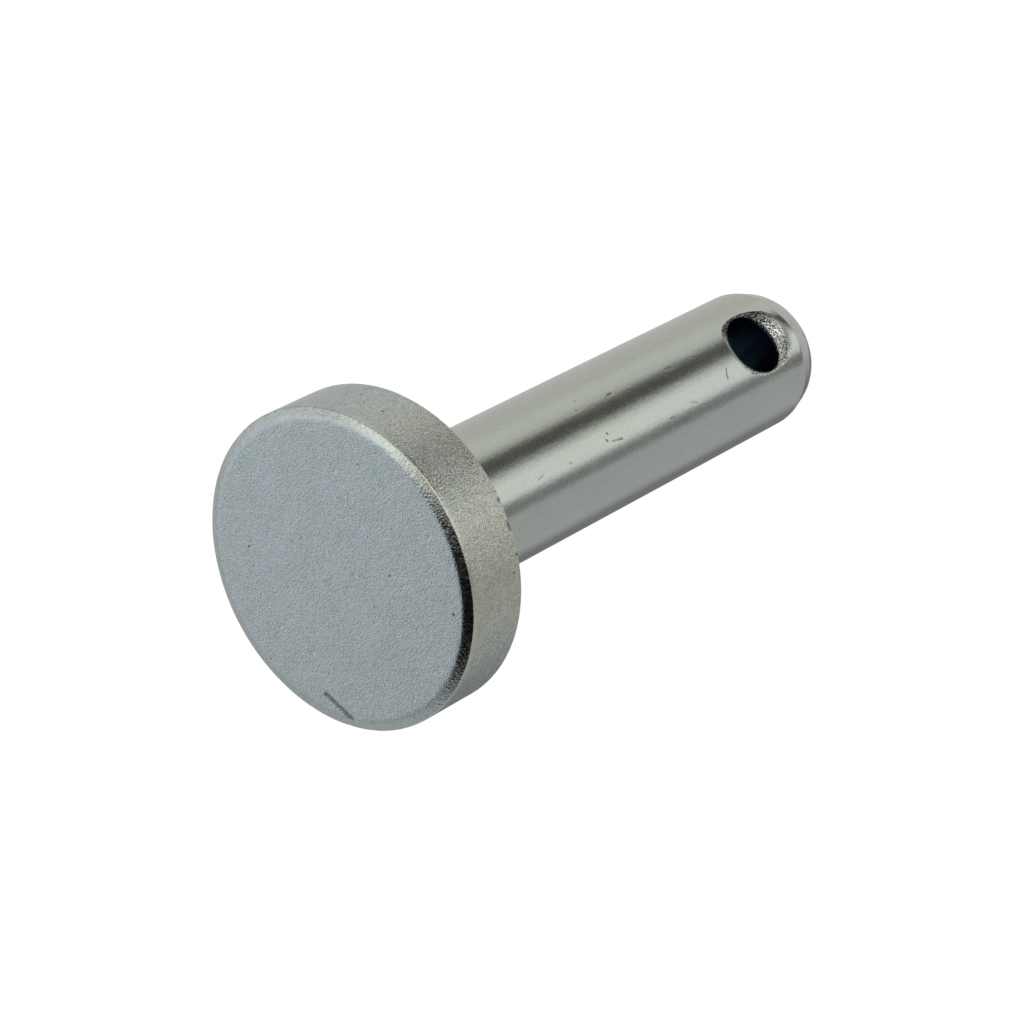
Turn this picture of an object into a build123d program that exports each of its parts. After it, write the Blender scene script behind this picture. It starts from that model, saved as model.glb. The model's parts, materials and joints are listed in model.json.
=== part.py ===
from build123d import *
import os
from math import radians, tan

# Clevis pin: a round forged head on a plain shank, with a cross hole near the tip
# that takes a linch pin. One piece of steel, zinc plated. Millimetres, +Z up.
# The pin stands on its head: the origin is the centre of the head's outer face,
# the shank rises along +Z, and the cross hole runs along X.

# --- driving sizes ------------------------------------------------------------

head_diameter = 60.5           # across the rim of the head
head_thickness = 14.0          # outer face to the seat under the head
face_bevel_width = 2.5         # bevel round the outer face, measured along the radius
face_bevel_angle = 32.0        # degrees the bevel falls away from the face
face_blend_radius = 3.5        # rounding between the outer face and its bevel
rim_corner_radius = 0.5        # rounding between the bevel and the rim
seat_corner_radius = 0.4       # rounding between the rim and the seat

shank_diameter = 28.0          # plain shank, the size that the pin is known by
shank_length = 120.6           # seat under the head to the end of the tip
neck_fillet_radius = 1.2       # fillet between the seat and the shank

tip_taper_length = 8.7         # lead-in cone at the tip, along the axis
tip_taper_drop = 2.7           # how far that cone closes in, along the radius
tip_shoulder_radius = 3.0      # rounding between the shank and the cone
tip_corner_radius = 7.5        # rounding between the cone and the flat end

hole_diameter = 12.4           # cross hole for the linch pin
hole_to_tip = 18.9             # axis of the hole to the end of the tip
countersink_angle = 104.0      # full angle of the cone at each mouth of the hole
countersink_depth = 1.9        # how deep that cone goes below the shank's surface

cut_clearance = 1.0            # how far the hole's cutter runs past the shank

# --- sizes worked out from them -----------------------------------------------

head_radius = head_diameter / 2
shank_radius = shank_diameter / 2
hole_radius = hole_diameter / 2
overall_length = head_thickness + shank_length
hole_height = overall_length - hole_to_tip


def pin_blank():
    """The pin before it is drilled: head, shank and tip turned about Z."""
    bevel_height = face_bevel_width * tan(radians(face_bevel_angle))
    outline = [
        (0, 0),
        (head_radius - face_bevel_width, 0),
        (head_radius, bevel_height),
        (head_radius, head_thickness),
        (shank_radius, head_thickness),
        (shank_radius, overall_length - tip_taper_length),
        (shank_radius - tip_taper_drop, overall_length),
        (0, overall_length),
    ]
    corner_radii = [
        face_blend_radius,
        rim_corner_radius,
        seat_corner_radius,
        neck_fillet_radius,
        tip_shoulder_radius,
        tip_corner_radius,
    ]
    with BuildPart() as blank:
        with BuildSketch(Plane.XZ):
            with BuildLine():
                FilletPolyline(*outline, radius=corner_radii)
                Line(outline[-1], outline[0])
            make_face()
        revolve(axis=Axis.Z)
    return blank.part


def cross_hole():
    """What the drill and the countersink take away: one body of revolution about X."""
    cone_start = shank_radius - countersink_depth
    cutter_end = shank_radius + cut_clearance
    cutter_end_radius = hole_radius + (cutter_end - cone_start) * tan(radians(countersink_angle / 2))
    section = [
        (-cutter_end, 0),
        (-cutter_end, cutter_end_radius),
        (-cone_start, hole_radius),
        (cone_start, hole_radius),
        (cutter_end, cutter_end_radius),
        (cutter_end, 0),
    ]
    with BuildPart() as cutter:
        with BuildSketch(Plane.XZ):
            with BuildLine():
                Polyline(*section, close=True)
            make_face()
        revolve(axis=Axis.X)
    return Pos(0, 0, hole_height) * cutter.part


clevis_pin = pin_blank() - cross_hole()

os.makedirs("parts", exist_ok=True)
export_step(clevis_pin, "parts/clevis_pin.step")
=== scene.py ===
"""Clevis pin of zinc-plated steel: a grainy forged head on a smooth shank, drilled for a linch pin.

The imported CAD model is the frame. One fine mesh, with the head's grain, pits and wear in it, stands for
the pin's CAD solid. It stands on its head in a plain pale studio. Everything is in metres.
"""

import json
import logging
import math
from collections.abc import Callable, Iterable
from dataclasses import dataclass, field
from enum import IntEnum
from functools import partial

import bpy
import numpy as np
from mathutils import Matrix, Vector

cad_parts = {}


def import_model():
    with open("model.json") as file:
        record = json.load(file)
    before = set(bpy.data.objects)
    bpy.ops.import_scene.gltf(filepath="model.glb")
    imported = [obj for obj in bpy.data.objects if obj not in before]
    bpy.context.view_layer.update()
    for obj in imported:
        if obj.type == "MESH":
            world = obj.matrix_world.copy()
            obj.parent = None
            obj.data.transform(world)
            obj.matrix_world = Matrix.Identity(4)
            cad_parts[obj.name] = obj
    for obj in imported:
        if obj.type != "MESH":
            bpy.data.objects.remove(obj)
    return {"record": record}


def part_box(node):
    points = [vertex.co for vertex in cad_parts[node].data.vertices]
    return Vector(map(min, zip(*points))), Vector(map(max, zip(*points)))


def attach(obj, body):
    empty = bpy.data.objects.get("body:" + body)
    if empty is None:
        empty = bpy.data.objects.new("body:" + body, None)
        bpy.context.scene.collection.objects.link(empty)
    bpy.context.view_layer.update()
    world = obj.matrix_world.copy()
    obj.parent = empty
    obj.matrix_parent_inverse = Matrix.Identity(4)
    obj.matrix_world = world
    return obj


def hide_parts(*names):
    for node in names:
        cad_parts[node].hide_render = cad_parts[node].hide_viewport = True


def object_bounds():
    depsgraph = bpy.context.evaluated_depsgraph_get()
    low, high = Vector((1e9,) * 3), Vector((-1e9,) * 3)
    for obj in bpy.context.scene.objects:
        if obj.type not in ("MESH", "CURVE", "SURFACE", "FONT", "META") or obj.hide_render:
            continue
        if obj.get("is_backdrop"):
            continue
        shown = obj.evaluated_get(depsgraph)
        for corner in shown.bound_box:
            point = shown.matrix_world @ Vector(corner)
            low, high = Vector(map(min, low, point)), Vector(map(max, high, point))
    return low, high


LOG = logging.getLogger("clevis_pin")
MM = 0.001
NODE = "clevis_pin"
TINY = 1e-6
SAME = 1e-9


class Zone(IntEnum):
    """The pin's surfaces, by how each was made."""

    FORGED = 0
    DRAWN = 1
    DRILLED = 2


@dataclass(frozen=True)
class WearMark:
    """A mark along a short line on the pin's surface.

    Args:
        start: One end of the line, in the pin's frame.
        end: The other end.
        width: How far from the line the mark reaches.
        depth: How deep it goes.
        darkness: How much of the plating's shine it takes away, from 0 to 1.
    """

    start: Vector
    end: Vector
    width: float
    depth: float
    darkness: float


def on_face(radius: float, degrees: float) -> Vector:
    """A point of the head's outer face, from its distance to the axis and its direction."""
    angle = math.radians(degrees)
    return Vector((radius * math.cos(angle), radius * math.sin(angle), 0.0))


def on_wall(radius: float, degrees: float, height: float) -> Vector:
    """A point of a round wall about the pin's axis."""
    return on_face(radius, degrees) + Vector((0.0, 0.0, height))


def direction(azimuth: float, elevation: float) -> Vector:
    """A unit vector from angles in degrees, counted from +X towards +Y and up."""
    rise = math.radians(elevation)
    return on_wall(math.cos(rise), azimuth, math.sin(rise))


def add_object(name: str, data: bpy.types.ID) -> bpy.types.Object:
    """Add an object to the scene."""
    made = bpy.data.objects.new(name, data)
    bpy.context.scene.collection.objects.link(made)
    return made


# --- node trees ----------------------------------------------------------------


def math_method(operation: str, swapped: bool = False) -> Callable[..., "Signal"]:
    """A method of Signal that makes one Math node, with the two values in their order or swapped."""
    def method(self: "Signal", other: "Signal | float" = 0.0) -> "Signal":
        first, second = (other, self) if swapped else (self, other)
        return self.graph.math(operation, first, second)

    return method


class Signal:
    """A node's output that takes part in Python arithmetic, one Math node for each operation."""

    def __init__(self, graph: "NodeGraph", socket: bpy.types.NodeSocket) -> None:
        """Keep the socket and the graph that new nodes go to."""
        self.graph = graph
        self.socket = socket

    __add__ = __radd__ = math_method("ADD")
    __sub__ = math_method("SUBTRACT")
    __rsub__ = math_method("SUBTRACT", swapped=True)
    __mul__ = __rmul__ = math_method("MULTIPLY")
    __truediv__ = math_method("DIVIDE")
    __rtruediv__ = math_method("DIVIDE", swapped=True)
    at_least = math_method("MAXIMUM")
    at_most = math_method("MINIMUM")
    root = math_method("SQRT")

    def rise(self, low: float, high: float) -> "Signal":
        """0 below low, 1 above high and a smooth step between them."""
        return self.graph.step(self, low, high, 0.0, 1.0)

    def fall(self, low: float, high: float) -> "Signal":
        """1 below low, 0 above high and a smooth step between them."""
        return self.graph.step(self, low, high, 1.0, 0.0)

    def swing(self, weight: "Signal | float") -> "Signal":
        """Noise about zero: its distance from 0.5, times a weight."""
        return (self - 0.5) * weight


@dataclass(frozen=True)
class Grain:
    """A fractal noise pattern.

    Args:
        size: The width of its largest features, in metres.
        detail: How many finer octaves it holds.
        rough: How strong each finer octave is.
        seed: The fourth coordinate, which picks another pattern.
    """

    size: float | Signal
    detail: float
    rough: float
    seed: float | Signal


class NodeGraph:
    """A shader or geometry node tree that is built from Python."""

    def __init__(self, tree: bpy.types.NodeTree) -> None:
        """Start from an empty tree."""
        self.tree = tree
        tree.nodes.clear()

    def node(self, kind: str, inputs: dict | None = None, **settings: object) -> bpy.types.Node:
        """Add one node.

        Args:
            kind: The node's type name.
            inputs: Values or links, by the socket's name or number. A node stands for its first output.
            settings: Attributes that are set before its sockets are filled.

        Returns:
            The new node.
        """
        made = self.tree.nodes.new(kind)
        for name, value in settings.items():
            setattr(made, name, value)
        for key, value in (inputs or {}).items():
            value = value.outputs[0] if isinstance(value, bpy.types.Node) else getattr(value, "socket", value)
            if isinstance(value, bpy.types.NodeSocket):
                self.tree.links.new(value, made.inputs[key])
            else:
                made.inputs[key].default_value = value
        return made

    def out(self, made: bpy.types.Node, name: str | int = 0) -> Signal:
        """One output of a node, as a signal."""
        return Signal(self, made.outputs[name])

    def math(self, operation: str, first: "Signal | float", second: "Signal | float" = 0.0) -> Signal:
        """One Math node."""
        return self.out(self.node("ShaderNodeMath", {0: first, 1: second}, operation=operation))

    def vector(self, operation: str, first: object, second: object = (0.0, 0.0, 0.0)) -> bpy.types.Node:
        """One Vector Math node."""
        return self.node("ShaderNodeVectorMath", {0: first, 1: second}, operation=operation)

    def step(self, value: Signal, low: float, high: float, at_low: float, at_high: float) -> Signal:
        """A smooth step from one value to another."""
        ends = {"Value": value, "From Min": low, "From Max": high, "To Min": at_low, "To Max": at_high}
        return self.out(self.node("ShaderNodeMapRange", ends, interpolation_type="SMOOTHSTEP"))

    def axes(self, place: object) -> tuple[Signal, Signal, Signal]:
        """A vector's three coordinates."""
        split = self.node("ShaderNodeSeparateXYZ", {0: place})
        return self.out(split, 0), self.out(split, 1), self.out(split, 2)

    def noise(self, place: object, grain: Grain) -> Signal:
        """A noise pattern, which varies about 0.5."""
        sockets = {"Vector": place, "W": grain.seed, "Scale": 1.0 / grain.size,
                   "Detail": grain.detail, "Roughness": grain.rough}
        return self.out(self.node("ShaderNodeTexNoise", sockets, noise_dimensions="4D"))

    def cells(self, place: object, size: float | Signal, seed: float | Signal) -> bpy.types.Node:
        """Voronoi cells of about that size, in metres."""
        sockets = {"Vector": place, "W": seed, "Scale": 1.0 / size}
        return self.node("ShaderNodeTexVoronoi", sockets, voronoi_dimensions="4D")

    def tint(self, factor: "Signal | float", first: object, second: object) -> bpy.types.NodeSocket:
        """A mix of two colours, as factor goes from 0 to 1."""
        made = self.node("ShaderNodeMix", {0: factor, 6: first, 7: second}, data_type="RGBA")
        return made.outputs[2]

    def distance_to_line(self, place: object, start: Vector, end: Vector) -> Signal:
        """How far a point is from a straight piece of line.

        Args:
            place: The point.
            start: One end of the line.
            end: The other end.

        Returns:
            The distance.
        """
        along = end - start
        from_start = self.vector("SUBTRACT", place, tuple(start))
        share = self.out(self.vector("DOT_PRODUCT", from_start, tuple(along)), "Value")
        share = (share / max(along.length_squared, TINY**2)).at_least(0.0).at_most(1.0)
        nearest = self.node("ShaderNodeVectorMath", {0: tuple(along), "Scale": share}, operation="SCALE")
        return self.out(self.vector("DISTANCE", from_start, nearest), "Value")


def new_material(name: str) -> tuple[bpy.types.Material, NodeGraph]:
    """A material with no nodes yet, and the graph that they go to."""
    made = bpy.data.materials.new(name)
    made.use_nodes = True
    return made, NodeGraph(made.node_tree)


# --- the pin's shape -----------------------------------------------------------


@dataclass(frozen=True)
class PinSizes:
    """The pin's sizes.

    The first ones come from the frame. The bevel, its blend and the rim's corner are the finished skin's own,
    a little shallower than the solid's, and the rest are the solid's.
    """

    head_radius: float
    overall_length: float
    shank_radius: float
    seat_height: float
    hole_radius: float
    hole_height: float
    cone_start: float
    bevel_width: float = 1.9 * MM
    bevel_angle: float = math.radians(22.0)
    face_blend_radius: float = 3.2 * MM
    rim_corner_radius: float = 0.35 * MM
    seat_corner_radius: float = 0.4 * MM
    neck_fillet_radius: float = 1.2 * MM
    taper_length: float = 8.7 * MM
    taper_drop: float = 2.7 * MM
    shoulder_radius: float = 3.0 * MM
    tip_corner_radius: float = 7.5 * MM
    cone_half_angle: float = math.radians(52.0)

    @classmethod
    def from_frame(cls, record: dict) -> "PinSizes":
        """Read the main sizes from the frame's box and mounts.

        Args:
            record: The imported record.

        Returns:
            The sizes.
        """
        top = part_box(NODE)[1]
        mounts = {mount["name"]: mount for mount in record["mounts"]}
        return cls(
            head_radius=max(top.x, top.y),
            overall_length=top.z,
            shank_radius=mounts["shank"]["dims"]["r_mm"] * MM,
            seat_height=mounts["seat"]["pos_m"][2],
            hole_radius=mounts["cross_hole"]["dims"]["r_mm"] * MM,
            hole_height=mounts["cross_hole"]["pos_m"][2],
            cone_start=mounts["cross_hole"]["dims"]["length_mm"] * MM / 2,
        )


@dataclass(frozen=True)
class Corner:
    """A corner of the turned outline.

    Args:
        radius: Its distance from the axis.
        height: Its height above the outer face.
        rounding: The radius of the arc that rounds it.
        step: How far apart the rings are on the straight line that leads to it.
    """

    radius: float
    height: float
    rounding: float
    step: float


@dataclass
class TurnedOutline:
    """The half section that the pin is turned to, as rings from the outer face to the tip."""

    sizes: PinSizes
    arc_step: float = math.radians(9.0)
    least_arc_steps: int = 4
    hole_rows: int = 32

    def corners(self) -> list[Corner]:
        """The corners in order, from the outer face's bevel to the tip."""
        s = self.sizes
        bevel_height = s.bevel_width * math.tan(s.bevel_angle)
        return [
            Corner(s.head_radius - s.bevel_width, 0.0, s.face_blend_radius, 1.0 * MM),
            Corner(s.head_radius, bevel_height, s.rim_corner_radius, 0.30 * MM),
            Corner(s.head_radius, s.seat_height, s.seat_corner_radius, 0.48 * MM),
            Corner(s.shank_radius, s.seat_height, s.neck_fillet_radius, 0.9 * MM),
            Corner(s.shank_radius, s.overall_length - s.taper_length, s.shoulder_radius, 1.3 * MM),
            Corner(s.shank_radius - s.taper_drop, s.overall_length, s.tip_corner_radius, 0.7 * MM),
        ]

    def rounded(self, corner: Corner, before: Corner, after: Corner) -> np.ndarray:
        """The arc of one corner.

        Args:
            corner: The corner.
            before: The corner before it.
            after: The corner after it.

        Returns:
            The arc's points, each a radius and a height, from one tangent point to the other.
        """
        apex = np.array([corner.radius, corner.height])
        back = np.array([before.radius, before.height]) - apex
        ahead = np.array([after.radius, after.height]) - apex
        back /= np.linalg.norm(back)
        ahead /= np.linalg.norm(ahead)
        inner = math.acos(float(back @ ahead))
        reach = corner.rounding / math.tan(inner / 2)
        middle = (back + ahead) / np.linalg.norm(back + ahead)
        centre = apex + middle * corner.rounding / math.sin(inner / 2)
        first = apex + back * reach - centre
        last = apex + ahead * reach - centre
        turn = math.pi - inner
        steps = max(self.least_arc_steps, math.ceil(turn / self.arc_step))
        shares = np.linspace(0.0, 1.0, steps + 1)[:, None]
        return centre + (np.sin((1 - shares) * turn) * first + np.sin(shares * turn) * last) / math.sin(turn)

    def rings(self) -> np.ndarray:
        """Radius and height of every ring, from the edge of the flat outer face to that of the tip's flat."""
        s = self.sizes
        corners = self.corners()
        ends = [Corner(0.0, 0.0, 0.0, 0.0), *corners, Corner(0.0, s.overall_length, 0.0, 0.0)]
        rows: list[np.ndarray] = []
        for before, corner, after in zip(ends, corners, ends[2:]):
            arc = self.rounded(corner, before, after)
            if rows:
                rows.extend(self.straight(rows[-1], arc[0], corner.step))
            rows.extend(arc)
        return np.array(rows)

    def straight(self, start: np.ndarray, end: np.ndarray, step: float) -> list[np.ndarray]:
        """The rings between two points of a straight line, closer together beside the cross hole."""
        s = self.sizes
        if abs(start[0] - s.shank_radius) < SAME and end[1] > s.hole_height:
            below = 2 * s.hole_height - end[1]
            plain = max(1, round((below - start[1]) / step))
            heights = np.concatenate([
                np.linspace(start[1], below, plain + 1)[1:],
                np.linspace(below, end[1], self.hole_rows + 1)[1:-1],
            ])
            return [np.array([start[0], height]) for height in heights]
        count = max(1, round(float(np.linalg.norm(end - start)) / step))
        return [start + (end - start) * share for share in np.linspace(0.0, 1.0, count + 1)[1:-1]]


@dataclass
class PinMesh:
    """Builds the pin's mesh: a turned body, flat ends and the countersunk cross hole, nearly all of it quads.

    The two softnesses say how far an edge is rounded, and never more than a share of the countersink's slant.
    """

    sizes: PinSizes
    head_columns: int = 512
    shank_columns: int = 256
    hole_half_columns: int = 26
    patch_rings: int = 8
    bore_rings: int = 26
    lip_softness: float = 0.9 * MM
    lip_share: float = 0.50
    lip_steps: int = 6
    bore_softness: float = 0.35 * MM
    bore_share: float = 0.35
    bore_steps: int = 4
    patch_gather: float = 1.3
    countersink_rings: int = 2
    halvings: int = 40
    halving_inset: float = 3.0
    points: list[np.ndarray] = field(default_factory=list)
    faces: list[tuple[int, ...]] = field(default_factory=list)
    zones: list[int] = field(default_factory=list)
    count: int = 0

    def add_points(self, rows: np.ndarray) -> np.ndarray:
        """Add points and return their numbers."""
        self.points.append(rows.reshape(-1, 3))
        first = self.count
        self.count += rows.size // 3
        return np.arange(first, self.count)

    def add_faces(self, faces: Iterable, zone: Zone) -> None:
        """Add faces of one zone."""
        self.faces.extend(tuple(map(int, face)) for face in faces)
        self.zones.extend([int(zone)] * len(faces))

    def ring(self, radius: float, height: float, columns: int) -> np.ndarray:
        """Add one ring, from a corner of the flat ends' square grid on, and return its point numbers."""
        turn = -math.pi / 4 + 2 * math.pi * np.arange(columns) / columns
        heights = np.full(columns, height)
        return self.add_points(np.stack([radius * np.cos(turn), radius * np.sin(turn), heights], 1))

    def bridge(self, lower: np.ndarray, upper: np.ndarray) -> np.ndarray:
        """Quads between two closed rings of as many points."""
        return np.stack([lower, np.roll(lower, -1), np.roll(upper, -1), upper], 1)

    def halve(self, fine: np.ndarray, coarse: np.ndarray) -> list[tuple]:
        """Triangles between a ring and one of half as many points."""
        made = []
        for index, point in enumerate(coarse):
            after = coarse[(index + 1) % len(coarse)]
            one, two, three = (fine[(2 * index + shift) % len(fine)] for shift in range(3))
            made += [(one, two, point), (two, after, point), (two, three, after)]
        return made

    def disc(self, rim: np.ndarray, radius: float, height: float, upward: bool) -> np.ndarray:
        """Fill a ring with a square grid that is bent to a disc.

        Args:
            rim: The ring's point numbers.
            radius: Its radius.
            height: Its height.
            upward: Whether the disc faces up.

        Returns:
            The disc's faces.
        """
        cells = len(rim) // 4
        line = np.linspace(-1.0, 1.0, cells + 1)
        x, y = np.meshgrid(line, line, indexing="ij")
        wide = np.abs(x) >= np.abs(y)
        major = np.where(wide, x, y)
        minor = np.where(wide, y, x)
        quarter = np.divide(minor, major, out=np.zeros_like(minor), where=major != 0) * math.pi / 4
        turn = np.where(wide, quarter, math.pi / 2 - quarter)
        places = np.stack([major * np.cos(turn) * radius, major * np.sin(turn) * radius, 0 * x + height], -1)
        numbers = np.full((cells + 1, cells + 1), -1)
        side = np.arange(cells)
        numbers[cells, side] = rim[side]
        numbers[cells - side, cells] = rim[cells + side]
        numbers[0, cells - side] = rim[2 * cells + side]
        numbers[side, 0] = rim[3 * cells + side]
        numbers[1:-1, 1:-1] = self.add_points(places[1:-1, 1:-1]).reshape(cells - 1, cells - 1)
        quads = np.stack([numbers[:-1, :-1], numbers[1:, :-1], numbers[1:, 1:], numbers[:-1, 1:]], -1)
        quads = quads.reshape(-1, 4)
        return quads if upward else quads[:, ::-1]

    def turned_body(self) -> tuple[list[np.ndarray], np.ndarray]:
        """Add the rings and the flat ends.

        Returns:
            The shank's and tip's rings as point numbers, and the height of each.
        """
        s = self.sizes
        outline = TurnedOutline(s).rings()
        halving = s.head_radius - self.halving_inset * s.seat_corner_radius
        columns = [
            self.head_columns if height < s.seat_height - TINY or radius > halving else self.shank_columns
            for radius, height in outline
        ]
        rings = [self.ring(radius, height, wide) for (radius, height), wide in zip(outline, columns)]
        self.add_faces(self.disc(rings[0], outline[0][0], 0.0, False), Zone.FORGED)
        shank = [ring for ring, (radius, _) in zip(rings, outline) if radius <= s.shank_radius + SAME]
        heights = outline[[radius <= s.shank_radius + SAME for radius, _ in outline], 1]
        bottom, top = self.hole_rows(heights)
        for index, (lower, upper) in enumerate(zip(rings, rings[1:])):
            if len(lower) != len(upper):
                self.add_faces(self.halve(lower, upper), Zone.FORGED)
                continue
            zone = Zone.DRAWN if outline[index][0] <= s.shank_radius + SAME else Zone.FORGED
            quads = self.bridge(lower, upper)
            row = index - (len(rings) - len(shank))
            if bottom <= row < top:
                quads = [quad for column, quad in enumerate(quads) if not self.in_patch(column)]
            self.add_faces(quads, zone)
        self.add_faces(self.disc(rings[-1], outline[-1][0], outline[-1][1], True), Zone.DRAWN)
        return shank, heights

    def hole_rows(self, heights: np.ndarray) -> tuple[int, int]:
        """The first and the last of the shank's rings around the cross hole."""
        top = int(np.argmin(np.abs(heights - self.patch_top())))
        bottom = int(np.argmin(np.abs(heights - (2 * self.sizes.hole_height - self.patch_top()))))
        return bottom, top

    def patch_top(self) -> float:
        """The height where the shank's straight wall ends."""
        s = self.sizes
        turn = math.atan2(s.taper_drop, s.taper_length)
        return s.overall_length - s.taper_length - s.shoulder_radius * math.tan(turn / 2)

    def in_patch(self, column: int) -> bool:
        """Whether a column of the shank is cut by one of the hole's two mouths."""
        quarter = self.shank_columns // 8
        for middle in (quarter, quarter + self.shank_columns // 2):
            if middle - self.hole_half_columns <= column < middle + self.hole_half_columns:
                return True
        return False

    def patch_border(self, shank: list[np.ndarray], bottom: int, top: int) -> tuple[np.ndarray, np.ndarray]:
        """The border of the square patch round each mouth.

        Args:
            shank: The shank's rings.
            bottom: The patch's lowest ring.
            top: Its highest ring.

        Returns:
            Point numbers round the mouth towards +X, and the matching ones on the other side.
        """
        middle = self.shank_columns // 8
        left, right = middle - self.hole_half_columns, middle + self.hole_half_columns
        walk = [(bottom, column) for column in range(left, right)]
        walk += [(row, right) for row in range(bottom, top)]
        walk += [(top, column) for column in range(right, left, -1)]
        walk += [(row, left) for row in range(top, bottom, -1)]
        mirror = middle * 2 + self.shank_columns // 2
        near = np.array([shank[row][column] for row, column in walk])
        far = np.array([shank[row][(mirror - column) % self.shank_columns] for row, column in walk])
        return near, far

    def mouth_edge(self, turn: np.ndarray) -> np.ndarray:
        """How far from the hole's axis its countersink meets the shank, in each direction round the hole."""
        s = self.sizes
        low = np.full_like(turn, s.hole_radius)
        high = np.full_like(turn, 2 * s.hole_radius)
        for _ in range(self.halvings):
            guess = (low + high) / 2
            surface = np.sqrt(s.shank_radius**2 - (guess * np.cos(turn)) ** 2)
            cone = s.hole_radius + (surface - s.cone_start) * math.tan(s.cone_half_angle)
            low = np.where(cone > guess, guess, low)
            high = np.where(cone > guess, high, guess)
        return (low + high) / 2

    def soft_edge(self, before: np.ndarray, edge: np.ndarray, after: np.ndarray,
                  steps: int) -> list[np.ndarray]:
        """Rings that round an edge, from a ring before it to a ring after it."""
        shares = np.linspace(0.0, 1.0, steps + 1)
        return [(1 - t) ** 2 * before + 2 * t * (1 - t) * edge + t * t * after for t in shares]

    def mouth_sections(self, border: np.ndarray) -> list[np.ndarray]:
        """Rings from the patch's border over the mouth's edge and down its countersink, to the plain bore.

        Args:
            border: The places of the border's points.

        Returns:
            Rings of points, each as a distance along the hole, a distance from its axis and a direction.
        """
        s = self.sizes
        reach = np.hypot(border[:, 1], border[:, 2] - s.hole_height)
        turn = np.arctan2(border[:, 2] - s.hole_height, border[:, 1])
        edge = self.mouth_edge(turn)
        slant = (edge - s.hole_radius) / math.sin(s.cone_half_angle)
        soft = np.minimum(self.bore_softness, self.bore_share * slant)
        lip = np.minimum(self.lip_softness, self.lip_share * slant)

        def surface(distance: np.ndarray) -> np.ndarray:
            return np.stack([np.sqrt(s.shank_radius**2 - (distance * np.cos(turn)) ** 2), distance, turn], 1)

        def cone(distance: np.ndarray) -> np.ndarray:
            depth = s.cone_start + (distance - s.hole_radius) / math.tan(s.cone_half_angle)
            return np.stack([depth, distance, turn], 1)

        outer = edge + lip
        inner = edge - lip * math.sin(s.cone_half_angle)
        foot = s.hole_radius + soft * math.sin(s.cone_half_angle)
        shares = np.linspace(0.0, 1.0, self.patch_rings + 1)[1:-1]
        made = [surface(reach + (outer - reach) * (1 - (1 - share) ** self.patch_gather)) for share in shares]
        made += self.soft_edge(surface(outer), surface(edge), cone(inner), self.lip_steps)
        between = np.linspace(0.0, 1.0, self.countersink_rings + 2)[1:-1]
        made += [cone(inner + (foot - inner) * share) for share in between]
        ledge = np.stack([np.full_like(turn, s.cone_start), np.full_like(turn, s.hole_radius), turn], 1)
        wall = np.stack([s.cone_start - soft, np.full_like(turn, s.hole_radius), turn], 1)
        made += self.soft_edge(cone(foot), ledge, wall, self.bore_steps)
        return made

    def cross_hole(self, shank: list[np.ndarray], heights: np.ndarray) -> None:
        """Add both mouths and the bore between them.

        Args:
            shank: The shank's rings.
            heights: The height of each.
        """
        s = self.sizes
        bottom, top = self.hole_rows(heights)
        near, far = self.patch_border(shank, bottom, top)
        border = np.concatenate(self.points)[near]
        sections = self.mouth_sections(border)
        surface_rings = self.patch_rings - 1
        last = sections[-1]
        bore = [last * [[1 - 2 * share, 1, 1]] for share in np.linspace(0.0, 1.0, self.bore_rings + 1)[1:-1]]
        mirrored = [section * [[-1, 1, 1]] for section in reversed(sections)]
        rings = [near]
        for section in sections + bore + mirrored:
            along, reach, turn = section.T
            places = np.stack([along, reach * np.cos(turn), s.hole_height + reach * np.sin(turn)], 1)
            rings.append(self.add_points(places))
        rings.append(far)
        for index, (outer, inner) in enumerate(zip(rings, rings[1:])):
            plain = index <= surface_rings or index >= len(rings) - 2 - surface_rings
            self.add_faces(self.bridge(outer, inner), Zone.DRAWN if plain else Zone.DRILLED)

    def build(self, name: str) -> bpy.types.Object:
        """Make the mesh object.

        Args:
            name: The object's name.

        Returns:
            The object, with each face's zone in an attribute.
        """
        shank, heights = self.turned_body()
        self.cross_hole(shank, heights)
        mesh = bpy.data.meshes.new(name)
        mesh.from_pydata(np.concatenate(self.points).tolist(), [], self.faces)
        zone = mesh.attributes.new("zone", "INT", "FACE")
        zone.data.foreach_set("value", np.array(self.zones, dtype=np.int32))
        return add_object(name, mesh)


# --- finishes ------------------------------------------------------------------


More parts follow.
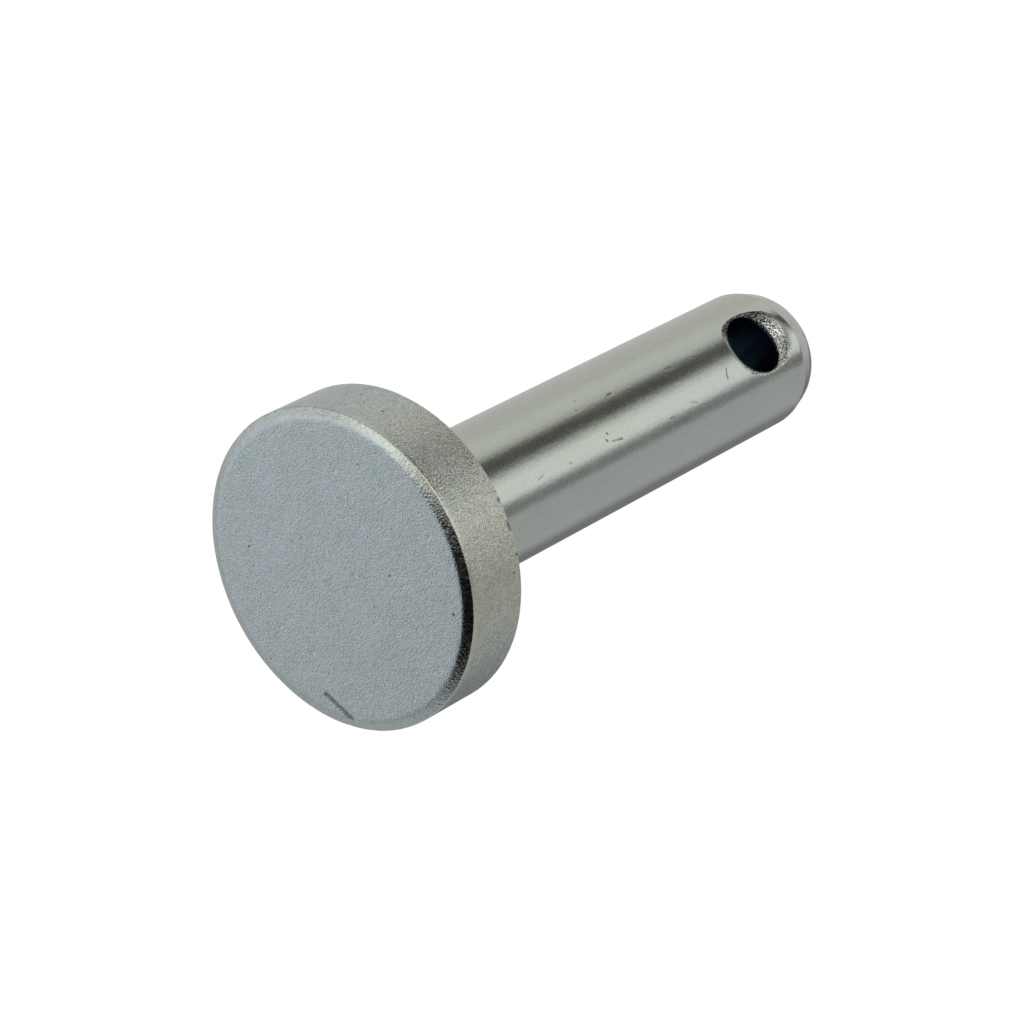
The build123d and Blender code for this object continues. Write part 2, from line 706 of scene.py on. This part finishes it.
class Finish:
    """What the pin's finishes share: a metal shader over the pin's own coordinates, and faded wear marks."""

    label = "finish"
    mark_edge = Grain(0.35 * MM, 2.0, 0.6, seed=7.0)
    mark_raggedness = 0.9
    mark_fade = (0.45, 1.0)

    def surface(self, graph: NodeGraph, place: object) -> dict:
        """The shader's inputs. Each finish gives its own."""
        raise NotImplementedError

    def material(self) -> bpy.types.Material:
        """Build the material."""
        made, graph = new_material(self.label)
        place = graph.node("ShaderNodeTexCoord").outputs["Object"]
        shader = graph.node("ShaderNodeBsdfPrincipled", {"Metallic": 1.0, **self.surface(graph, place)})
        graph.node("ShaderNodeOutputMaterial", {"Surface": shader})
        return made

    def relief(self, graph: NodeGraph, *layers: tuple[Signal, float]) -> bpy.types.Node:
        """Layers of relief, each a pattern and its depth in metres."""
        made = None
        for pattern, depth in layers:
            below = {} if made is None else {"Normal": made}
            inputs = {"Height": pattern, "Distance": depth, "Strength": 1.0, **below}
            made = graph.node("ShaderNodeBump", inputs)
        return made

    def shaded(self, graph: NodeGraph, base: object, shade: Signal) -> bpy.types.Node:
        """A colour made lighter or darker by a share of itself."""
        return graph.node("ShaderNodeHueSaturation", {"Color": base, "Value": shade + 1.0})

    def marks(self, graph: NodeGraph, place: object, wear: tuple[WearMark, ...]) -> "Signal | float":
        """How dark the wear marks make the plating, from 0 to 1."""
        total: Signal | float = 0.0
        ragged = graph.noise(place, self.mark_edge).swing(self.mark_raggedness)
        for mark in wear:
            edge = graph.distance_to_line(place, mark.start, mark.end) / mark.width + ragged
            total = (edge.fall(*self.mark_fade) * mark.darkness).at_least(total)
        return total


@dataclass(frozen=True)
class ForgedZinc(Finish):
    """Bright zinc over a forged and blasted surface: sandy grain, small dark pits and a faint tinted mottle.

    A shade is how much a pattern changes the colour's value. A pair is where a change starts and where it is
    complete. A set of three is a strength on the face, what the rim adds to it and what the bevel adds.
    """

    sizes: PinSizes
    wear: tuple[WearMark, ...] = ()
    label: str = "forged_zinc"
    face_colour: tuple = (0.520, 0.606, 0.622, 1.0)
    face_mottle: tuple = (0.542, 0.600, 0.640, 1.0)
    rim_colour: tuple = (0.560, 0.622, 0.600, 1.0)
    rim_warm_colour: tuple = (0.605, 0.632, 0.545, 1.0)
    pit_colour: tuple = (0.070, 0.075, 0.072, 1.0)
    warm_side: float = math.radians(15.0)
    warm_reach: tuple = (0.35, 1.0)
    warm_raggedness: float = 0.8
    mottle_reach: tuple = (0.40, 0.64)
    rim_tint_heights: tuple = (0.05 * MM, 0.35 * MM)
    bevel_foot: tuple = (0.03 * MM, 0.15 * MM)
    bevel_top: tuple = (0.55 * MM, 1.1 * MM)
    rim_foot: tuple = (0.9 * MM, 1.8 * MM)
    grain: Grain = Grain(0.40 * MM, 2.0, 0.60, seed=1.0)
    clumps: Grain = Grain(1.05 * MM, 1.0, 0.50, seed=2.0)
    mottle: Grain = Grain(4.5 * MM, 3.0, 0.55, seed=3.0)
    patches: Grain = Grain(13.0 * MM, 2.0, 0.50, seed=4.0)
    sand: Grain = Grain(0.22 * MM, 1.0, 0.50, seed=8.0)
    grain_shade: float = 0.75
    clump_shade: float = 0.30
    mottle_shade: float = 0.12
    sand_shade: tuple = (0.25, 0.95, 0.0)
    roughness: float = 0.24
    grain_roughness: float = 0.20
    clump_roughness: float = 0.12
    pit_roughness: float = 0.2
    bevel_polish: float = 0.06
    clump_depth: float = 0.10 * MM
    clump_relief: tuple = (0.45, 0.55, 0.0)
    grain_depth: float = 0.13 * MM
    grain_relief: tuple = (0.85, 0.55, -0.30)
    sand_depth: float = 0.05 * MM
    sand_relief: tuple = (0.2, 0.8, 0.0)
    pit_depth: float = 0.08 * MM
    pit_darkness: float = 0.85
    pit_spacing: float = 1.5 * MM
    pit_seed: float = 5.0
    pit_grouping: float = 1.6
    pit_rim_excess: float = 0.08
    pit_chance: tuple = (0.50, 1.15)
    pit_radius: float = 0.15
    least_pit_radius: float = 0.02
    pit_raggedness: float = 0.16
    pit_fade: tuple = (0.7, 1.3)

    def surface(self, graph: NodeGraph, place: object) -> dict:
        """Grain, pits and mottle for the head."""
        x, y, height = graph.axes(place)
        kinds = (self.grain, self.clumps, self.mottle, self.patches, self.sand)
        grain, clumps, mottle, patches, sand = (graph.noise(place, kind) for kind in kinds)
        bevel = height.rise(*self.bevel_foot) * height.fall(*self.bevel_top)
        rim = height.rise(*self.rim_foot)

        def strength(shares: tuple) -> Signal:
            on_face, more_on_rim, more_on_bevel = shares
            return rim * more_on_rim + bevel * more_on_bevel + on_face

        pits = self.pits(graph, place, grain, patches + rim * self.pit_rim_excess)
        side = (x * math.cos(self.warm_side) + y * math.sin(self.warm_side)) / self.sizes.head_radius
        warm = (side + patches.swing(self.warm_raggedness)).rise(*self.warm_reach)
        rim_base = graph.tint(warm, self.rim_colour, self.rim_warm_colour)
        base = graph.tint(mottle.rise(*self.mottle_reach), self.face_colour, self.face_mottle)
        base = graph.tint(height.rise(*self.rim_tint_heights), base, rim_base)
        shade = grain.swing(self.grain_shade) + clumps.swing(self.clump_shade)
        shade = shade + mottle.swing(self.mottle_shade) + sand.swing(strength(self.sand_shade))
        base = self.shaded(graph, base, shade)
        dark = (pits * self.pit_darkness).at_least(self.marks(graph, place, self.wear))
        base = graph.tint(dark, base, self.pit_colour)
        rough = grain.swing(self.grain_roughness) + clumps.swing(self.clump_roughness) + self.roughness
        rough = rough + pits * self.pit_roughness - bevel * self.bevel_polish
        relief = self.relief(
            graph,
            (clumps * strength(self.clump_relief), self.clump_depth),
            (grain * strength(self.grain_relief), self.grain_depth),
            (1.0 - pits, self.pit_depth),
            (sand.swing(strength(self.sand_relief)), self.sand_depth),
        )
        return {"Base Color": base, "Roughness": rough, "Normal": relief}

    def pits(self, graph: NodeGraph, place: object, grain: Signal, patches: Signal) -> Signal:
        """Small pits that come in groups, from 0 to 1 in the pit."""
        cells = graph.cells(place, self.pit_spacing, self.pit_seed)
        chance = graph.out(graph.node("ShaderNodeSeparateColor", {0: cells.outputs["Color"]}), 0)
        grouped = (chance + patches.swing(self.pit_grouping)).rise(*self.pit_chance)
        radius = grouped * self.pit_radius + self.least_pit_radius
        distance = graph.out(cells, "Distance") + grain.swing(self.pit_raggedness)
        return (distance / radius).fall(*self.pit_fade)


@dataclass(frozen=True)
class DrawnZinc(Finish):
    """Bright zinc over a drawn bar: smooth, with a slight unevenness, drawn streaks, stains and specks."""

    sizes: PinSizes
    wear: tuple[WearMark, ...] = ()
    label: str = "drawn_zinc"
    warm_colour: tuple = (0.598, 0.632, 0.548, 1.0)
    cool_colour: tuple = (0.590, 0.630, 0.620, 1.0)
    speck_colour: tuple = (0.130, 0.135, 0.125, 1.0)
    cool_side: tuple = (-0.35, 0.95)
    streak_stretch: tuple = (1.0, 1.0, 0.10)
    cloud_stretch: tuple = (1.0, 1.0, 0.40)
    clouds: Grain = Grain(4.0 * MM, 4.0, 0.60, seed=11.0)
    dimples: Grain = Grain(1.25 * MM, 2.0, 0.55, seed=12.0)
    grain: Grain = Grain(0.32 * MM, 1.5, 0.60, seed=13.0)
    stains: Grain = Grain(16.0 * MM, 3.0, 0.60, seed=15.0)
    streaks: Grain = Grain(0.9 * MM, 2.0, 0.60, seed=16.0)
    stain_tint: float = 2.2
    cloud_shade: float = 0.16
    grain_shade: float = 0.42
    streak_shade: float = 0.10
    roughness: float = 0.19
    cloud_roughness: float = 0.14
    grain_roughness: float = 0.10
    speck_roughness: float = 0.25
    dimple_depth: float = 0.022 * MM
    streak_depth: float = 0.008 * MM
    grain_depth: float = 0.010 * MM
    speck_spacing: float = 5.5 * MM
    speck_seed: float = 14.0
    speck_raggedness: float = 0.05
    speck_fade: tuple = (0.020, 0.045)
    speck_darkness: float = 0.6

    def surface(self, graph: NodeGraph, place: object) -> dict:
        """Clouds, streaks and specks for the shank."""
        y = graph.axes(place)[1]
        clouds = graph.noise(graph.vector("MULTIPLY", place, self.cloud_stretch), self.clouds)
        streaks = graph.noise(graph.vector("MULTIPLY", place, self.streak_stretch), self.streaks)
        kinds = (self.stains, self.dimples, self.grain)
        stains, dimples, grain = (graph.noise(place, kind) for kind in kinds)
        specks = graph.out(graph.cells(place, self.speck_spacing, self.speck_seed), "Distance")
        specks = (specks + grain.swing(self.speck_raggedness)).fall(*self.speck_fade)
        side = y / self.sizes.shank_radius + stains.swing(self.stain_tint)
        base = graph.tint(side.rise(*self.cool_side), self.warm_colour, self.cool_colour)
        shade = clouds.swing(self.cloud_shade) + grain.swing(self.grain_shade)
        base = self.shaded(graph, base, shade + streaks.swing(self.streak_shade))
        dark = (specks * self.speck_darkness).at_least(self.marks(graph, place, self.wear))
        base = graph.tint(dark, base, self.speck_colour)
        rough = clouds.swing(self.cloud_roughness) + grain.swing(self.grain_roughness) + self.roughness
        rough = rough + specks * self.speck_roughness
        layers = ((dimples, self.dimple_depth), (streaks, self.streak_depth), (grain, self.grain_depth))
        relief = self.relief(graph, *layers)
        return {"Base Color": base, "Roughness": rough, "Normal": relief}


@dataclass(frozen=True)
class DrilledZinc(Finish):
    """Thin zinc in a drilled hole: sandy countersinks with painted glints and shade; painted shade down the
    bore.

    The painted bore shade and the lip are given by how far out along the hole they reach, from the
    countersink's foot.
    The countersink's grain has more painted shade on the side of the hole towards -Y.
    """

    sizes: PinSizes
    label: str = "drilled_zinc"
    # The glint and valley colours are painted glints and painted shade in the countersink's grain.
    painted_glint_colour: tuple = (0.780, 0.785, 0.740, 1.0)
    painted_valley_shade_colour: tuple = (0.050, 0.048, 0.042, 1.0)
    lip_colour: tuple = (0.600, 0.620, 0.580, 1.0)
    # The deep colour is painted shade down the bore.
    painted_bore_shade_colour: tuple = (0.075, 0.125, 0.155, 1.0)
    grain: Grain = Grain(0.30 * MM, 1.5, 0.60, seed=21.0)
    painted_bore_shade_reach: tuple = (-0.9 * MM, 0.1 * MM)
    lip_reach: tuple = (0.85 * MM, 1.65 * MM)
    lip_raggedness: float = 1.6 * MM
    # These two set the painted shade that darkens the grain on the side towards -Y.
    painted_shade_side_reach: tuple = (-0.95, 0.15)
    painted_shade_side_shift: float = 0.13
    painted_glint_reach: tuple = (0.38, 0.54)
    bore_smoothness: float = 0.9
    lip_smoothness: float = 0.85
    grain_depth: float = 0.20 * MM
    roughness: float = 0.20
    grain_roughness: float = 0.1

    def surface(self, graph: NodeGraph, place: object) -> dict:
        """Grain with painted glints and shade for the countersinks, a smooth lip round them and painted shade
        for the bore.
        """
        x, y, _ = graph.axes(place)
        out = graph.math("ABSOLUTE", x) - self.sizes.cone_start
        grain = graph.noise(place, self.grain)
        # Painted shade: the countersink's grain is darker on the side towards -Y.
        painted_shade_side = (y / self.sizes.hole_radius).fall(*self.painted_shade_side_reach)
        # Painted shade down the bore; the bump is smoothed there too.
        bore_shade_and_smoothing = out.fall(*self.painted_bore_shade_reach)
        lip = (out + grain.swing(self.lip_raggedness)).rise(*self.lip_reach)
        # Painted glints and painted shade: the grain picks the bright or the dark colour.
        painted_glint = (grain - painted_shade_side * self.painted_shade_side_shift).rise(*self.painted_glint_reach)
        base = graph.tint(painted_glint, self.painted_valley_shade_colour, self.painted_glint_colour)
        base = graph.tint(lip, base, self.lip_colour)
        base = graph.tint(bore_shade_and_smoothing, base, self.painted_bore_shade_colour)
        sandy = (1.0 - bore_shade_and_smoothing * self.bore_smoothness) * (1.0 - lip * self.lip_smoothness)
        rough = grain.swing(self.grain_roughness) + self.roughness
        relief = self.relief(graph, (grain * sandy, self.grain_depth))
        return {"Base Color": base, "Roughness": rough, "Normal": relief}


# --- the skin ------------------------------------------------------------------


@dataclass
class PinSkin:
    """Geometry nodes that give the turned body its forged skin, its wear and its finishes."""

    sizes: PinSizes
    wear: tuple[WearMark, ...]
    wave_height: float = 0.10 * MM
    wave_size: float = 9.0 * MM
    grain_height: float = 0.022 * MM
    grain_size: float = 1.3 * MM
    pit_depth: float = 0.07 * MM
    pit_size: float = 3.2 * MM
    seed: float = 4.0
    skin_fade: float = 0.2 * MM
    pit_fade: tuple = (0.08, 0.22)
    mark_fade: tuple = (0.1, 1.1)

    def inputs(self, tree: bpy.types.NodeTree) -> dict[str, float]:
        made = {}
        for name in ("Wave Height", "Wave Size", "Grain Height", "Grain Size", "Pit Depth", "Pit Size", "Seed"):
            socket = tree.interface.new_socket(name, in_out="INPUT", socket_type="NodeSocketFloat")
            made[socket.identifier] = getattr(self, name.lower().replace(" ", "_"))
        return made

    def relief(self, graph: NodeGraph, given: bpy.types.Node, place: object) -> Signal:
        """How far each point sinks below the true form."""
        def value(name: str) -> Signal:
            return graph.out(given, name)

        seat, seed = self.sizes.seat_height, value("Seed")
        forged = graph.axes(place)[2].fall(seat - self.skin_fade, seat + self.skin_fade)
        waves = graph.noise(place, Grain(value("Wave Size"), 1.0, 0.5, seed))
        grain = graph.noise(place, Grain(value("Grain Size"), 1.5, 0.5, seed))
        pits = graph.out(graph.cells(place, value("Pit Size"), seed), "Distance").fall(*self.pit_fade)
        sunk = waves.swing(value("Wave Height")) + grain.swing(value("Grain Height"))
        sunk = (sunk + pits * value("Pit Depth")) * forged
        for mark in self.wear:
            distance = graph.distance_to_line(place, mark.start, mark.end) / mark.width
            sunk = sunk + distance.fall(*self.mark_fade) * mark.depth
        return sunk

    def tree(self, finishes: dict[Zone, bpy.types.Material]) -> tuple[bpy.types.NodeTree, dict]:
        """Build the tree.

        Args:
            finishes: The material of each zone.

        Returns:
            The tree and its inputs, as inputs() gives them.
        """
        tree = bpy.data.node_groups.new("pin_skin", "GeometryNodeTree")
        graph = NodeGraph(tree)
        tree.interface.new_socket("Geometry", in_out="INPUT", socket_type="NodeSocketGeometry")
        named = self.inputs(tree)
        tree.interface.new_socket("Geometry", in_out="OUTPUT", socket_type="NodeSocketGeometry")
        given = graph.node("NodeGroupInput")
        place = graph.node("GeometryNodeInputPosition")
        normal = graph.node("GeometryNodeInputNormal")
        sunk = self.relief(graph, given, place)
        offset = graph.node("ShaderNodeVectorMath", {0: normal, "Scale": sunk * -1.0}, operation="SCALE")
        moved = {"Geometry": given.outputs["Geometry"], "Offset": offset}
        body = graph.node("GeometryNodeSetPosition", moved)
        zone = graph.node("GeometryNodeInputNamedAttribute", {"Name": "zone"}, data_type="INT")
        body = graph.node("GeometryNodeRealizeInstances", {"Geometry": body})
        for number, finish in finishes.items():
            same = {2: zone, 3: int(number)}
            chosen = graph.node("FunctionNodeCompare", same, data_type="INT", operation="EQUAL")
            dressed = {"Geometry": body, "Selection": chosen, "Material": finish}
            body = graph.node("GeometryNodeSetMaterial", dressed)
        graph.node("NodeGroupOutput", {0: body})
        return tree, named

    def apply(self, body: bpy.types.Object, finishes: dict[Zone, bpy.types.Material],
              name: str) -> bpy.types.Object:
        """Run the tree on the body and keep the result as a plain mesh.

        Args:
            body: The turned body. It is removed.
            finishes: The material of each zone.
            name: The name of the new piece.

        Returns:
            The new piece.
        """
        modifier = body.modifiers.new("skin", "NODES")
        modifier.node_group, named = self.tree(finishes)
        for identifier, value in named.items():
            modifier[identifier] = value
        bpy.context.view_layer.update()
        seen = body.evaluated_get(bpy.context.evaluated_depsgraph_get())
        mesh = bpy.data.meshes.new_from_object(seen)
        mesh.name = name
        made = add_object(name, mesh)
        body.modifiers.remove(modifier)
        bpy.data.objects.remove(body)
        mesh.polygons.foreach_set("use_smooth", np.ones(len(mesh.polygons), dtype=bool))
        return made


@dataclass
class ClevisPin:
    """The whole pin: its sizes, its wear and the one piece that stands for the CAD solid."""

    sizes: PinSizes
    name: str = "clevis_pin_body"

    def mark(self, radius: float, start: tuple[float, float], end: tuple[float, float], width: float,
             darkness: float, depth: float = 0.03) -> WearMark:
        """A mark on one of the pin's round walls.

        Args:
            radius: The wall's radius.
            start: One end, as degrees round the wall and millimetres above the outer face.
            end: The other end.
            width: How far the mark reaches, in millimetres.
            darkness: How much of the shine it takes away.
            depth: How deep it goes, in millimetres.

        Returns:
            The mark.
        """
        first, last = (on_wall(radius, degrees, height * MM) for degrees, height in (start, end))
        return WearMark(first, last, width * MM, depth * MM, darkness)

    def head_wear(self) -> tuple[WearMark, ...]:
        """A gouge on the outer face and nicks on the edge of the rim and the seat."""
        mark = partial(self.mark, self.sizes.head_radius)
        back = self.sizes.seat_height / MM
        return (
            WearMark(on_face(25.3 * MM, 143.0), on_face(28.2 * MM, 130.5), 0.65 * MM, 0.12 * MM, 0.66),
            mark((13.6, back - 0.5), (14.2, back), 0.45, 0.7, 0.20),
            mark((18.5, back), (21.5, back), 0.40, 0.9, 0.25),
            mark((22.3, back - 0.4), (24.0, back - 0.3), 0.60, 0.8, 0.25),
        )

    def shank_wear(self) -> tuple[WearMark, ...]:
        """Specks and short scratches on the shank, from the middle to the hole."""
        mark = partial(self.mark, self.sizes.shank_radius)
        return (
            mark((10.7, 63.5), (11.6, 63.7), 0.34, 0.75),
            mark((15.2, 62.7), (16.2, 62.9), 0.36, 0.80),
            mark((18.0, 64.1), (19.1, 65.8), 0.22, 0.60),
            mark((19.2, 66.0), (19.8, 67.0), 0.34, 0.70),
            mark((-16.2, 71.2), (-15.7, 70.0), 0.36, 0.70),
            mark((-14.8, 69.3), (-14.6, 69.1), 0.26, 0.60),
            mark((-24.1, 62.3), (-23.9, 62.5), 0.26, 0.50),
            mark((-16.3, 60.5), (-16.0, 60.6), 0.28, 0.55),
            mark((18.1, 51.0), (18.4, 51.6), 0.30, 0.40),
            mark((18.1, 41.7), (17.1, 43.3), 0.28, 0.35),
            mark((19.7, 89.1), (21.9, 90.7), 0.32, 0.35),
            mark((23.3, 81.8), (24.4, 82.9), 0.34, 0.35),
            mark((-13.5, 87.7), (-12.7, 89.4), 0.24, 0.45),
            mark((8.4, 102.5), (12.2, 102.0), 0.26, 0.70),
            mark((13.4, 101.9), (16.1, 101.7), 0.28, 0.75),
        )

    def build(self) -> bpy.types.Object:
        """Make the pin's piece, attach it to the root body, hide the CAD part and return it."""
        head_wear, shank_wear = self.head_wear(), self.shank_wear()
        finishes = {
            Zone.FORGED: ForgedZinc(self.sizes, head_wear).material(),
            Zone.DRAWN: DrawnZinc(self.sizes, shank_wear).material(),
            Zone.DRILLED: DrilledZinc(self.sizes).material(),
        }
        body = PinMesh(self.sizes).build("turned_body")
        piece = PinSkin(self.sizes, head_wear + shank_wear).apply(body, finishes, self.name)
        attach(piece, "root")
        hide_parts(NODE)
        piece.data.calc_loop_triangles()
        LOG.info("%s: %d triangles", piece.name, len(piece.data.loop_triangles))
        return piece


# --- the studio ----------------------------------------------------------------


@dataclass(frozen=True)
class Viewpoint:
    """Where the camera stands. Azimuth 0 looks along +Y, and a positive roll turns the camera to its left."""

    azimuth: float = 99.8
    elevation: float = -45.8
    roll: float = 62.3
    distance: float = 0.6719
    aim: Vector = Vector((-0.01136, 0.00310, 0.05693))
    lens: float = 125.2
    sensor: float = 36.0
    nearest: float = 0.01
    farthest: float = 50.0

    def place(self) -> bpy.types.Object:
        """Add the camera and make it the scene's own."""
        back = direction(self.azimuth - 90.0, self.elevation)
        level = direction(self.azimuth, 0.0)
        upright = back.cross(level)
        roll = math.radians(self.roll)
        right = math.cos(roll) * level + math.sin(roll) * upright
        up = math.cos(roll) * upright - math.sin(roll) * level
        data = bpy.data.cameras.new("camera")
        data.lens = self.lens
        data.sensor_width = self.sensor
        data.clip_start = self.nearest
        data.clip_end = self.farthest
        camera = add_object("camera", data)
        turn = Matrix((right, up, back)).transposed().to_4x4()
        camera.matrix_world = Matrix.Translation(self.aim + back * self.distance) @ turn
        bpy.context.scene.camera = camera
        return camera


@dataclass(frozen=True)
class Strip:
    """An upright lit or dark panel of the surroundings: its direction, half width, softness and tone."""

    azimuth: float
    half_width: float
    softness: float
    tone: float
    lowest: float = -40.0
    highest: float = 85.0
    foot_softness: float = 8.0
    top_softness: float = 0.04

    def mask(self, graph: NodeGraph, ray: object) -> Signal:
        """1 where a ray meets the panel, and 0 elsewhere."""
        x, y, z = graph.axes(ray)
        aim = direction(self.azimuth, 0.0)
        facing = (x * aim.x + y * aim.y) / (x * x + y * y + TINY).root()
        foot = (math.sin(math.radians(self.lowest + side * self.foot_softness)) for side in (-1, 1))
        top = math.sin(math.radians(self.highest))
        fade = z.rise(*foot) * z.fall(top - self.top_softness, top)
        return facing.rise(*cosines(self.half_width, self.softness)) * fade


@dataclass(frozen=True)
class Round:
    """A round lit or dark panel of the surroundings: its direction, half angle, softness and tone."""

    azimuth: float
    elevation: float
    half_angle: float
    softness: float
    tone: float

    def mask(self, graph: NodeGraph, ray: object) -> Signal:
        """1 where a ray meets the panel, and 0 elsewhere."""
        aim = tuple(direction(self.azimuth, self.elevation))
        facing = graph.out(graph.vector("DOT_PRODUCT", ray, aim), "Value")
        return facing.rise(*cosines(self.half_angle, self.softness))


def cosines(half_angle: float, softness: float) -> tuple[float, float]:
    """The cosines between which a panel's soft edge runs, from angles in degrees."""
    return math.cos(math.radians(half_angle + softness)), math.cos(math.radians(half_angle - softness))


@dataclass
class Studio:
    """Plain white surroundings with a few lit and dark panels, a soft lamp and a pale floor."""

    upper_tone: float = 0.575
    lower_tone: float = 0.465
    horizon: tuple = (-0.35, 0.25)
    panels: tuple = (
        Strip(-62.0, 12.0, 9.0, 0.66),
        Strip(-23.6, 12.4, 8.5, 0.085),
        Strip(19.5, 16.5, 8.0, 0.87),
        Strip(48.5, 9.0, 6.0, 0.21),
        Strip(97.0, 37.0, 8.0, 0.45),
        Strip(163.0, 27.0, 13.0, 0.20, lowest=25.0),
        Round(175.0, 14.0, 20.0, 10.0, 0.45),
        Round(-144.0, -42.0, 16.0, 13.0, 0.84),
        Round(-101.0, -66.0, 11.0, 6.0, 1.30),
        Round(-8.0, -28.0, 17.0, 6.0, 1.60),
        Round(122.0, -66.0, 28.0, 4.0, 0.0),
    )
    lamp_place: Vector = Vector((-0.18, -0.22, 0.80))
    lamp_size: float = 0.45
    lamp_power: float = 5.0
    floor_colour: tuple = (0.93, 0.93, 0.93, 1.0)
    floor_roughness: float = 0.9
    floor_radius: float = 3.0
    floor_sides: int = 96
    floor_drop: float = 0.2 * MM
    floor_fade: tuple = (0.126, 0.42)

    def surroundings(self) -> None:
        """Build the world: white to the camera, panels to everything else."""
        world = bpy.data.worlds.new("studio")
        world.use_nodes = True
        bpy.context.scene.world = world
        graph = NodeGraph(world.node_tree)
        ray = graph.vector("NORMALIZE", graph.node("ShaderNodeTexCoord").outputs["Generated"])
        height = graph.axes(ray)[2].rise(*self.horizon)
        tone = height * (self.upper_tone - self.lower_tone) + self.lower_tone
        for panel in self.panels:
            mask = panel.mask(graph, ray)
            tone = tone * (1.0 - mask) + mask * panel.tone
        seen = graph.out(graph.node("ShaderNodeLightPath"), "Is Camera Ray")
        strength = tone * (1.0 - seen) + seen
        light = {"Color": (1.0, 1.0, 1.0, 1.0), "Strength": strength}
        light = graph.node("ShaderNodeBackground", light)
        graph.node("ShaderNodeOutputWorld", {"Surface": light})

    def lamp(self) -> None:
        """Hang one broad soft lamp over the pin. It casts the shadow and stays out of reflections."""
        data = bpy.data.lights.new("overhead", "AREA")
        data.shape = "DISK"
        data.size = self.lamp_size
        data.energy = self.lamp_power
        made = add_object("overhead", data)
        made.visible_glossy = False
        made.location = self.lamp_place
        made.rotation_euler = (-self.lamp_place).to_track_quat("-Z", "Y").to_euler()

    def floor(self) -> bpy.types.Object:
        """Lay the floor. Only the camera sees it, from above and near the pin, so light reaches the face."""
        turns = 2 * math.pi * np.arange(self.floor_sides) / self.floor_sides
        corners = np.stack([np.cos(turns), np.sin(turns), 0 * turns], 1) * self.floor_radius
        mesh = bpy.data.meshes.new("floor")
        mesh.from_pydata(corners.tolist(), [], [tuple(range(self.floor_sides))])
        made = add_object("floor", mesh)
        made.location = (0.0, 0.0, -self.floor_drop)
        material, graph = new_material("pale_floor")
        pale = {"Color": self.floor_colour, "Roughness": self.floor_roughness}
        pale = graph.node("ShaderNodeBsdfDiffuse", pale)
        clear = graph.node("ShaderNodeBsdfTransparent")
        seen = graph.out(graph.node("ShaderNodeLightPath"), "Is Camera Ray")
        behind = graph.out(graph.node("ShaderNodeNewGeometry"), "Backfacing")
        x, y, _ = graph.axes(graph.node("ShaderNodeTexCoord").outputs["Object"])
        shown = seen * (1.0 - behind) * (x * x + y * y).root().fall(*self.floor_fade)
        mixed = graph.node("ShaderNodeMixShader", {0: shown, 1: clear, 2: pale})
        graph.node("ShaderNodeOutputMaterial", {"Surface": mixed})
        mesh.materials.append(material)
        made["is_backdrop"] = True
        return made

    def build(self) -> None:
        """Set up the surroundings, the lamp, the floor and the camera."""
        bpy.context.scene.view_settings.view_transform = "Standard"
        self.surroundings()
        self.lamp()
        self.floor()
        Viewpoint().place()
        LOG.info("studio: %d panels", len(self.panels))


def plain(box: tuple) -> list[list[float]]:
    """A box's two corners as plain lists of numbers."""
    return [[float(value) for value in corner] for corner in box]


def main() -> None:
    """Load the frame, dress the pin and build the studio."""
    logging.basicConfig(level=logging.INFO, format="%(name)s %(message)s")
    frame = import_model()
    cad_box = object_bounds()
    sizes = PinSizes.from_frame(frame["record"])
    ClevisPin(sizes).build()
    Studio().build()
    {"cad": plain(cad_box), "visual": plain(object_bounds())}


if __name__ == "__main__":
    main()
